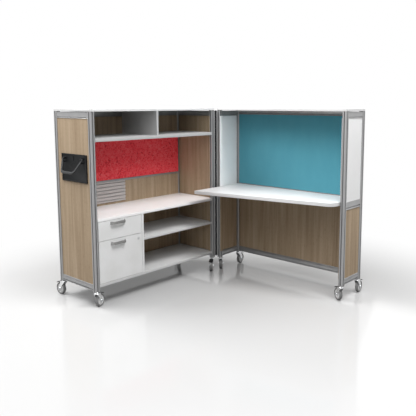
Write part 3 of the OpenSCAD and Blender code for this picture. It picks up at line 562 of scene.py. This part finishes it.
# %% [markdown]
# The rails are extrusions too. Along the foot runs a fin with a deep, dark groove over it;
# the face above is slightly hollow, and a leaning bead next to the panel catches the
# light. Bump could hint at these lines, but they cast real shadows, so they are drawn. One
# profile serves every rail, with its own height, beads and grooves.

# %% Rails and beads
RAIL_BACK, RAIL_THICK, BEAD = 3.0, 26.0, 9.0
LOW_RAIL, TOP_RAIL, MID_RAIL, MID_BEAD, MID_Z, BLUE_RAIL = 36.0, 39.0, 39.0, 19.0, 743.0, 33.0
RAIL_LIFT = 10.0  # from the posts' feet to the low rails
LOW_Z = POST_FOOT + RAIL_LIFT
SHADOW_GAP = 5.0  # between the top rails and the slab
FIN, FIN_GAP, GROOVE_IN, DISH = 6.0, 6.0, 11.0, 1.0


def rail_outline(low, high, under, over, groove=2.0):
    """(depth, height) points: one face from bottom to top with its beads, then its mirror image.

    under and over are the heights of the beads below and above the face, each across a dark
    groove; with no bead under it, the rail starts with its fin and a deep groove. The face
    is hollow: depth = DISH * sin(pi * s), with s from 0 to 1.
    """
    s = np.linspace(0, 1, 9)
    if under:
        run = low + (high - low - 1) * s
        foot = [[1.2, low - under], [0.4, low - under + 1], [4.5, low - groove], [GROOVE_IN, low - groove],
                [GROOVE_IN, low]]
    else:
        run = low + FIN + FIN_GAP + (high - low - FIN - FIN_GAP - 1) * s
        foot = [[0.8, low], [0, low + 0.8], [0, low + FIN], [GROOVE_IN, low + FIN],
                [GROOVE_IN, low + FIN + FIN_GAP]]
    half = foot + [*np.stack([DISH * np.sin(math.pi * s), run], -1), [0.8, high]]
    if over:
        half += [[GROOVE_IN, high], [GROOVE_IN, high + groove], [0.6, high + groove],
                 [0.4, high + groove + 1], [4.5, high + over]]
    half = np.array(half)
    return np.concatenate([half, half[::-1] * [-1, 1] + [RAIL_THICK, 0]]) + [RAIL_BACK, 0]


def rail(place_in, wall, depth, profile):
    """A rail on one wall of a unit: the near end, the far end or the back."""
    span = UNIT_WIDTH if wall == "back" else depth
    put = {"near": lambda a, b, t: np.stack([a, t, b], -1),
           "far": lambda a, b, t: np.stack([UNIT_WIDTH - a, t, b], -1),
           "back": lambda a, b, t: np.stack([t, depth - a, b], -1)}[wall]
    return prism(profile, lambda a, b, t: place_in(put(a, b, t)), POST_SIDE, span - POST_SIDE)


low_rail = rail_outline(LOW_Z, LOW_Z + LOW_RAIL, 0, BEAD, 3.0)
top_rail = rail_outline(POST_TOP - TOP_RAIL, POST_TOP - SHADOW_GAP, BEAD, 0)
mid_rail = rail_outline(MID_Z - MID_RAIL, MID_Z, MID_BEAD, 0, 10.0)
blue_top = rail_outline(POST_TOP - BLUE_RAIL + BEAD, POST_TOP - SHADOW_GAP, BEAD, 0)
WALLS = ("near", "far", "back")
RAILS = {"storage": [(wall, profile) for wall in WALLS for profile in (low_rail, top_rail)],
         "desk": [(wall, profile) for wall in WALLS for profile in (low_rail, mid_rail)]
         + [("near", top_rail), ("far", top_rail), ("back", blue_top)]}
TACK_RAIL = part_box("slatted_board")[1].z / MM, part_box("red_tackboard")[0].z / MM
BACK_PANEL_IN = 33.0  # the storage unit's back panel faces the room this far from its back
STORAGE_REACH = STORAGE_DEPTH - BACK_PANEL_IN
SLAT_THICK = 12.0
for unit, (place_in, depth, body) in UNITS.items():
    parts = [rail(place_in, wall, depth, profile) for wall, profile in RAILS[unit]]
    if unit == "storage":
        low, high = TACK_RAIL
        front, back = STORAGE_REACH - SLAT_THICK, STORAGE_REACH
        outline = [(front + 1.5, low), (front, low + 3), (front + 0.6, (low + high) / 2), (front, high - 1),
                   (front + 1, high), (back, high), (back, low)]
        parts.append(prism(outline, lambda a, b, t: in_storage(np.stack([t, a, b], -1)), POST_SIDE,
                           UNIT_WIDTH - POST_SIDE))
    rails = piece(f"{unit}_rail_extrusions", *joined(parts), body, ALUMINIUM, "aluminium", 30)
    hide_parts(f"{unit}_rails")
    print(unit, len(parts), "rails")

# %% [markdown]
# The slatted board is grooved so that trays and hooks can hang in it. Each groove has a
# rounded upper lip, a narrow mouth and a wider space behind. Grooves could be an array of
# cutters, but as one profile carried along the board they stay one clean surface, and the
# round lips shade themselves into the dark lines that the photograph shows.

# %% Slatted board
SLAT_COUNT, MOUTH, UNDERCUT, MOUTH_DEEP, SPACE_DEEP, LIP_ROUND = 6, 7.0, 12.0, 2.5, 9.0, 4.5


def slat_outline(low, high):
    """(depth, height) points: per groove a sharp lower lip, the space behind, and a round upper lip.

    The upper lip is a quarter circle: depth = r * (1 - sin t), height = r * (1 - cos t).
    """
    pitch = (high - low) / SLAT_COUNT
    t = np.linspace(0, math.pi / 2, 6)
    groove = np.concatenate([
        [[0, -MOUTH / 2 - 0.8], [0.8, -MOUTH / 2], [MOUTH_DEEP, -MOUTH / 2], [MOUTH_DEEP, -UNDERCUT / 2],
         [SPACE_DEEP, -UNDERCUT / 2], [SPACE_DEEP, UNDERCUT / 2 + LIP_ROUND],
         [LIP_ROUND + 0.5, UNDERCUT / 2 + LIP_ROUND], [LIP_ROUND + 0.5, MOUTH / 2]],
        np.stack([LIP_ROUND * (1 - np.sin(t)), MOUTH / 2 + LIP_ROUND * (1 - np.cos(t))], -1)])
    faces = [groove + [0, low + (i + 0.5) * pitch] for i in range(SLAT_COUNT)]
    foot, head = [[0.8, low], [0, low + 0.8]], [[0, high], [SLAT_THICK, high], [SLAT_THICK, low]]
    return np.concatenate([foot, *faces, head])


corners = np.array([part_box("slatted_board")[0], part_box("slatted_board")[1]]) / MM
across = (storage_high[1] / MM - corners[1, 1], storage_high[1] / MM - corners[0, 1])
slats = prism(slat_outline(corners[0, 2], corners[1, 2]),
              lambda a, b, t: in_storage(np.stack([t, STORAGE_REACH - SLAT_THICK + a, b], -1)), *across)
board = piece("slatted_board_profile", *slats, "storage_unit", SLAT_GREY, "grey_slats", 35)
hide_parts("slatted_board")
print(f"slatted board {across[1] - across[0]:.0f} mm wide")

# %% [markdown]
# The desk's tackboard is held by a thin edging, a flat frame that is one ring of faces
# with its corners mitred. The end panels' inner skins lap over the posts, so that from
# inside only a narrow strip of metal shows next to the hinge. Each is a thin sheet laid on
# the post, which is simpler than a new outline for the panel.

# %% Tackboard edging and inner skins
low, high = np.array(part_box("blue_tackboard")[0]) / MM, np.array(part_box("blue_tackboard")[1]) / MM
face = low[1] - desk_low[1] / MM
edge = (low[0] - desk_low[0] / MM, low[2], high[0] - desk_low[0] / MM, high[2])
EDGING_WIDE, EDGING_BACK, EDGING_OUT, SKIN = 5.0, 3.0, 1.2, 1.0
strip = frame_strip(lambda a, b, t: in_desk(np.stack([a, face + EDGING_BACK - t, b], -1)),
                    edge, EDGING_WIDE, 0, EDGING_BACK + EDGING_OUT)
piece("blue_tackboard_edging", *strip, "desk_unit", TRIM, "aluminium", 30, bevel_mm=0.4)
panels_low, panels_mid = LOW_Z + LOW_RAIL + BEAD, MID_Z - MID_RAIL - MID_BEAD
panels_top = POST_TOP - TOP_RAIL - BEAD
for name, place_in, material, slot, from_front, bottom, top in (
        ("desk_white_skins", in_desk, PANEL_WHITE, "white_laminate", 0.6, MID_Z, panels_top),
        ("desk_oak_skins", in_desk, OAK, "oak", 0.6, panels_low, panels_mid),
        ("storage_oak_skins", in_storage, OAK, "oak", 25.0, panels_low, panels_top)):
    parts = []
    far_side = UNIT_WIDTH - POST_SIDE
    for inner, outer in ((POST_SIDE, POST_SIDE + SKIN), (far_side, far_side - SKIN)):
        outline = [(inner, from_front), (outer, from_front), (outer, POST_SIDE), (inner, POST_SIDE)]
        parts.append(prism(outline, lambda a, b, t, f=place_in: f(np.stack([a, b, t], -1)), bottom, top))
    piece(name, *joined(parts), "desk_unit" if place_in is in_desk else "storage_unit", material, slot)
print(f"edging {edge[2] - edge[0]:.0f} x {edge[3] - edge[1]:.0f} mm, skins up to {panels_top:.0f} mm")

# %% [markdown]
# Between the two units the hinge shows as one straight dark line. A tapered aluminium
# nose on each post reaches towards the barrel, and a black seal closes what is left, so
# that nothing shows between the knuckles. One strip across both units would tear when
# they fold, so there are two halves: each stays within its own quarter turn and clears
# the other at every angle of the hinge.

# %% Hinge noses and seals
BARREL, HINGE_LOW, HINGE_HIGH = 6.0, POST_FOOT + 14.0, POST_TOP - 4.0
NOSE = [(BARREL + 1.8, 2.2), (BARREL + 3.2, 3.0), (13.2, 4.0)]
SEAL = [(BARREL + 0.2, 1.6), (BARREL + 1.0, 2.0), (BARREL + 2.4, 2.4)]
WEDGES = (("nose", NOSE, ALUMINIUM, "aluminium"), ("seal", SEAL, SEAL_BLACK, "black_plastic"))


def diagonal(sign):
    """Places (out from the axis, across, up) on the line halfway between the two units' fronts."""
    return lambda a, b, t: np.stack([HINGE[0] + sign * MM * (a - b) / math.sqrt(2),
                                     HINGE[1] + sign * MM * (a + b) / math.sqrt(2), MM * t], -1)


for unit, sign in (("storage", -1), ("desk", 1)):
    for name, half, material, slot in WEDGES:
        out = [(r, -w) for r, w in half] + [(r, w) for r, w in half[::-1]]
        piece(f"{unit}_hinge_{name}", *prism(out, diagonal(sign), HINGE_LOW, HINGE_HIGH), f"{unit}_unit",
              material, slot, 40)
print("hinge", HINGE_HIGH - HINGE_LOW, "mm long")

# %% [markdown]
# The carrying handle's bail is a strap that widens from its pivots, turns two soft
# corners and is thickest at the grip. A bevelled curve would keep one section all the
# way, so the strap is a rounded path with a section that grows along it. A trunnion at
# each end runs through its lug.

# %% Bail
PLATE_FACE, PLATE_AT, PLATE_Z, PIVOT_UP, PIVOT_OUT = 5.0, 218.0, 997.0, 68.0, 12.0
PANEL_BACK = 7.0  # the end panel's face lies this far in from the posts' faces
BAIL_HALF, GRIP_HALF, BAIL_LONG, BAIL_LEAN, BEND = 124.0, 73.0, 111.0, math.radians(26), 24.0
PATH_DOWN = BAIL_LONG - 3.5  # the strap's middle line; its thickness makes up the rest
ARM_HALF, ARM_GROWS, GRIP_GROWS, ARM_THICK, GRIP_THICK = 4.5, 3.5, 1.0, 4.3, 2.3  # half widths
SQUARENESS = 0.45  # exponent of the section: 1 is an ellipse, towards 0 a rectangle
TRUNNION, CLIP_AT, CLIP_THICK, CLIP_RADIUS = 4.0, 101.7, 1.5, 6.0


def rounded_path(corners, radius, steps=9):
    """Straight runs joined by curves: each corner becomes p = (1-t)^2 a + 2t(1-t) c + t^2 b."""
    corners = np.asarray(corners, float)
    path = [corners[:1]]
    for before, corner, after in zip(corners, corners[1:], corners[2:]):
        a = corner + radius * (before - corner) / np.linalg.norm(before - corner)
        b = corner + radius * (after - corner) / np.linalg.norm(after - corner)
        t = np.linspace(0, 1, steps)[:, None]
        path.append((1 - t) ** 2 * a + 2 * t * (1 - t) * corner + t ** 2 * b)
    return np.concatenate(path + [corners[-1:]])


def resampled(path, step):
    """The same path with points a fixed step apart."""
    run = np.concatenate([[0], np.cumsum(np.linalg.norm(np.diff(path, axis=0), axis=1))])
    at = np.linspace(0, run[-1], int(run[-1] / step) + 1)
    return np.stack([np.interp(at, run, path[:, k]) for k in range(2)], -1), at, run[-1]


def bail_point(across_mm, down_mm, out_mm):
    """Bail plane (across, down from the pivot, out of the plane) to the model, leaning off the plate.

    A turn by the lean: y = sin * down + cos * out, z = sin * out - cos * down, from the pivot.
    """
    c, q = math.cos(BAIL_LEAN), math.sin(BAIL_LEAN)
    y = PLATE_FACE + PIVOT_OUT + q * down_mm + c * out_mm
    z = PIVOT_UP - c * down_mm + q * out_mm
    return in_storage(np.stack([UNIT_WIDTH - PANEL_BACK + y, PLATE_AT + across_mm, PLATE_Z + z], -1))


bends = [(-BAIL_HALF, 0), (-GRIP_HALF, PATH_DOWN), (GRIP_HALF, PATH_DOWN), (BAIL_HALF, 0)]
path, at, whole = resampled(rounded_path(bends, BEND), 4.0)
ahead = np.gradient(path, axis=0)
ahead /= np.linalg.norm(ahead, axis=1)[:, None]
side = np.stack([-ahead[:, 1], ahead[:, 0]], -1)
from_end = np.minimum(at, whole - at)
# the strap widens smoothly between 12 and 38 mm from its ends, thickens over the last 22 mm
# down to the grip, and is rounded off over 4.5 mm at each end
grow = np.clip((from_end - 12) / 26, 0, 1)
grow = grow * grow * (3 - 2 * grow)
grip = np.clip((path[:, 1] - BAIL_LONG + 22) / 20, 0, 1)
tip = np.sqrt(np.clip(1 - (1 - np.minimum(from_end / 4.5, 1)) ** 2, 0.02, 1))
wide, thick = tip * (ARM_HALF + ARM_GROWS * grow + GRIP_GROWS * grip), tip * (ARM_THICK + GRIP_THICK * grip)
turn = np.linspace(0, 2 * math.pi, 20, endpoint=False)
oval = [np.sign(wave) * np.abs(wave) ** SQUARENESS for wave in (np.cos(turn), np.sin(turn))]
flat = path[:, None] + (wide[:, None] * oval[0])[..., None] * side[:, None]
rings = bail_point(flat[..., 0], flat[..., 1], thick[:, None] * oval[1])
clip_out = CLIP_AT + CLIP_THICK
pin = [(0, BAIL_HALF), (TRUNNION, BAIL_HALF), (TRUNNION, clip_out), (CLIP_RADIUS, clip_out),
       (CLIP_RADIUS, CLIP_AT), (0, CLIP_AT)]
origin = bail_point(0.0, 0.0, 0.0)
pins = [lathe(pin, origin, bail_point(end, 0.0, 0.0) - origin, 24) for end in (-1.0, 1.0)]
strap = piece("bail_strap", *joined([loft(rings), *pins]), "bail", BLACK_STRAP, "black_metal", 40)
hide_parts("bail_handle")
# behind the plate's slot stands a black sheet: painted shade, dark where the slot's shadow falls, in place of
# the wood that would show through
low, high = PIVOT_UP - 20, PIVOT_UP + 20
slot_shade_sheet = prism([(-8, low), (8, low), (8, high), (-8, high)], lambda a, b, t: in_storage(
    np.stack([UNIT_WIDTH - PANEL_BACK + t, PLATE_AT + a, PLATE_Z + b], -1)), 0.0, 1.0)
piece("handle_slot_shade_sheet", *slot_shade_sheet, "storage_unit", SEAL_BLACK, "black_plastic")
print(f"bail strap {whole:.0f} mm along its path")

# %% [markdown]
# A caster is a pressed fork on a ball race, a wheel with a rubber tyre on a moulded
# centre, and a nylon brake pedal. All eight are alike and differ only in where they
# stand and which way they trail. Copies of one object could be moved and turned, but a
# finished piece stays at the origin with its place in its mesh, so that its pattern stays
# on it. So the points themselves are turned to each heading.

# %% Casters


def caster_place(x, y, heading):
    """Caster millimetres (back, side, up) to metres: turned by the heading about a stem at x, y."""
    c, s = math.cos(heading), math.sin(heading)

    def to_model(points):
        p = np.asarray(points, float) * MM
        return np.stack([x + c * p[..., 0] - s * p[..., 1], y + s * p[..., 0] + c * p[..., 1], p[..., 2]], -1)
    return to_model


joint = {j["name"]: j for j in frame["joints"]}
casters = [j[:-len("_swivel")] for j in joint if j.endswith("_swivel")]
PIN_AT, PIN_Z = 26.0, 100.0  # the pedal's pin, back from the stem and up
TYRE_PROFILE = [(34, -9.5), (36.5, -11.6), (40, -12.2), (43, -11.4), (45, -8.8), (45.8, -5), (46, 0),
                (45.8, 5), (45, 8.8), (43, 11.4), (40, 12.2), (36.5, 11.6), (34, 9.5), (33.6, 0)]
CENTRE_HALF = [(4.3, -12.3), (9.5, -12.3), (10.3, -11.6), (11.4, -9.0), (14, -9.8), (22, -10.2),
               (29, -8.6), (32, -7.4), (33, -8.6), (35, -9)]
CENTRE_PROFILE = CENTRE_HALF + [(radius, -along) for radius, along in CENTRE_HALF[::-1]]
NUT_ACROSS, NUT_THICK, NUT_AT, NUT_CROWN = 6.6, 4.0, 18.5, 0.6
PEDAL_SLOPE = math.radians(15)
TREAD = np.array([(7, -12), (11, -16.4), (38, -17), (43.5, -15), (46, -10), (45, -4), (41.5, 0), (45, 4),
                  (46, 10), (43.5, 15), (38, 17), (11, 16.4), (7, 12)])
TREAD_HALF = 17.0
TREAD_DISH, TREAD_LOW_AT = 0.0008, 27.0  # how the tread is hollowed, and where it is lowest
RIB_WIDE, RIB_HALF, RIBS = 3, 13, (15, 23, 31)


def on_pedal(x, y, z):
    """The pedal's own (out from its pin, across, up) to caster millimetres: turned down by its slope."""
    return np.stack([PIN_AT + x * math.cos(PEDAL_SLOPE) + z * math.sin(PEDAL_SLOPE), y,
                     PIN_Z - x * math.sin(PEDAL_SLOPE) + z * math.cos(PEDAL_SLOPE)], -1)


def tread_levels(to_model):
    """The pedal's outline at four heights, drawn in at the edges.

    All four are hollow: height = up + TREAD_DISH * (x - TREAD_LOW_AT)^2.
    """
    rings, middle = [], TREAD.mean(0)
    for up, inset in ((0, 1.2), (1.0, 0), (4.4, 0), (5.4, 1.4)):
        flat = middle + (TREAD - middle) * (1 - inset / TREAD_HALF)
        dish = TREAD_DISH * (flat[:, 0] - TREAD_LOW_AT) ** 2
        rings.append(to_model(on_pedal(flat[:, 0], flat[:, 1], up + dish)))
    return rings


def rib(to_model, start, wide, half):
    """A raised grip rib across the tread, wide from its start, with slanted sides."""
    rings = []
    for up, inset in ((4.5, 0), (6.6, 0.6)):
        low, high = start + inset, start + wide - inset
        x, y = np.array([low, high, high, low]), np.array([-half, -half, half, half])
        rings.append(to_model(on_pedal(x, y, up)))
    return loft(rings)


for name in casters:
    stem = joint[name + "_swivel"]["pos_m"]
    axle = joint[name + "_roll"]["pos_m"]
    to_model = caster_place(stem[0], stem[1], math.atan2(axle[1] - stem[1], axle[0] - stem[0]))
    side = to_model([0, 1, 0]) - to_model([0, 0, 0])
    rubber = piece(name + "_tyre", *lathe(TYRE_PROFILE + TYRE_PROFILE[:1], axle, side, 64), name + "_wheel",
                   TYRE, "caster_tyre", 40)
    piece(name + "_wheel_centre", *lathe(CENTRE_PROFILE + CENTRE_PROFILE[:1], axle, side, 48), name + "_wheel",
          WHEEL_GREY, "caster_tyre", 35)
    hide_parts(name + "_wheel")
    soften(name + "_fork", name + "_fork_pressing", 0.7, CHROME, 2)
    rim, crown = NUT_AT + NUT_THICK, NUT_AT + NUT_THICK + NUT_CROWN
    nuts = [lathe([(0, NUT_AT * end), (NUT_ACROSS, NUT_AT * end), (NUT_ACROSS, rim * end),
                   (NUT_ACROSS - 1, crown * end), (0, crown * end)], axle, side, 6) for end in (-1, 1)]
    piece(name + "_axle_nuts", *joined(nuts), name + "_fork", ZINC, "chrome", 25)
    ribs = [rib(to_model, start, RIB_WIDE, RIB_HALF) for start in RIBS]
    piece(name + "_pedal", *joined([loft(tread_levels(to_model)), *ribs]), name + "_brake", BLACK_NYLON,
          "black_plastic", 30)
    soften(name + "_brake", name + "_pedal_lever", 0.8, BLACK_NYLON, 2)
print(len(casters), "casters")

# %% [markdown]
# The studio: a pale, slightly glossy floor that fades to white away from the object, soft
# lights on all sides with the strongest from above and from behind on the left, and a
# surround that the camera and the mirror-like parts see as white. The light that falls on
# the object comes nearly all from the lamps, at a plain level, so that colours stay as
# written. A curved backdrop could hide the horizon too, but a floor that fades into its
# own glow does it with one plane.

# %% Floor, light and surround
bpy.ops.mesh.primitive_plane_add(size=60, location=(0, 0, 0))
floor = bpy.context.object
floor.name = "floor"
FLOOR, tree, place = new_finish("studio_floor")


def seen_rays(tree):
    """1 for camera, glossy and transmission rays, 0 for the rays that light the object."""
    sockets = [add(tree, "LightPath", output=f"Is {ray} Ray") for ray in ("Camera", "Glossy", "Transmission")]
    both = add(tree, "Math", {0: sockets[0], 1: sockets[1]}, operation="MAXIMUM")
    return add(tree, "Math", {0: both, 1: sockets[2]}, operation="MAXIMUM")


seen = seen_rays(tree)
shine = add(tree, "BsdfPrincipled", {"Base Color": "#C2C2C2", "Roughness": 0.1, "Specular IOR Level": 0.28})
dull = add(tree, "BsdfDiffuse", {"Color": "#8C8C8C"})
glow = add(tree, "Emission", {"Color": "#FFFFFF", "Strength": 1.0})
away = add(tree, "VectorMath", {0: place}, output="Value", operation="LENGTH")
fade = add(tree, "MapRange", {"Value": away, "From Min": 1.2, "From Max": 2.6}, interpolation_type="SMOOTHSTEP")
share = add(tree, "Math", {0: seen, 1: fade}, operation="MULTIPLY")
ground = add(tree, "MixShader", {0: seen, 1: dull, 2: shine})
add(tree, "OutputMaterial", {"Surface": add(tree, "MixShader", {0: share, 1: ground, 2: glow})})
paint(floor, FLOOR)

world = bpy.data.worlds.new("surround")
bpy.context.scene.world = world
world.use_nodes = True
tree = world.node_tree
tree.nodes.clear()
plain, white = (add(tree, "Background", {"Color": "#FFFFFF", "Strength": power}) for power in (0.03, 1.0))
add(tree, "OutputWorld", {"Surface": add(tree, "MixShader", {0: seen_rays(tree), 1: plain, 2: white})})

MIDDLE = (0, 0, 0.6)
LAMPS = {  # place, what it points at, size in metres, watts
    "overhead_light": ((2.4, 0.2, 5.6), MIDDLE, (2.0, 2.0), 175),
    "overhead_front_light": ((2.2, -2.2, 5.2), MIDDLE, (2.5, 2.5), 32),
    "front_light": ((2.6, -2.6, 3.4), MIDDLE, (2.5, 2.5), 46),
    "left_light": ((-0.4, -3.0, 4.2), MIDDLE, (2.5, 2.5), 56),
    "right_light": ((3.0, 0.2, 4.2), MIDDLE, (2.5, 2.5), 80),
    "back_left_light": ((-2.4, -1.6, 4.2), MIDDLE, (2.5, 2.5), 210),
    "low_left_light": ((-1.6, -4.0, 1.8), MIDDLE, (2.0, 2.0), 14),
    "back_light": ((0.6, 4.2, 2.8), (0, 0.4, 0.8), (3.5, 2.5), 30),
}
for name, (where, target, size, watts) in LAMPS.items():
    lamp = bpy.data.lights.new(name, "AREA")
    lamp.shape = "RECTANGLE"
    lamp.size, lamp.size_y = size
    lamp.energy = watts
    obj = bpy.data.objects.new(name, lamp)
    bpy.context.scene.collection.objects.link(obj)
    obj.location = where
    obj.rotation_euler = (Vector(target) - Vector(where)).to_track_quat("-Z", "Y").to_euler()
bpy.context.scene.view_settings.view_transform = "Standard"
print(len(LAMPS), "lamps")
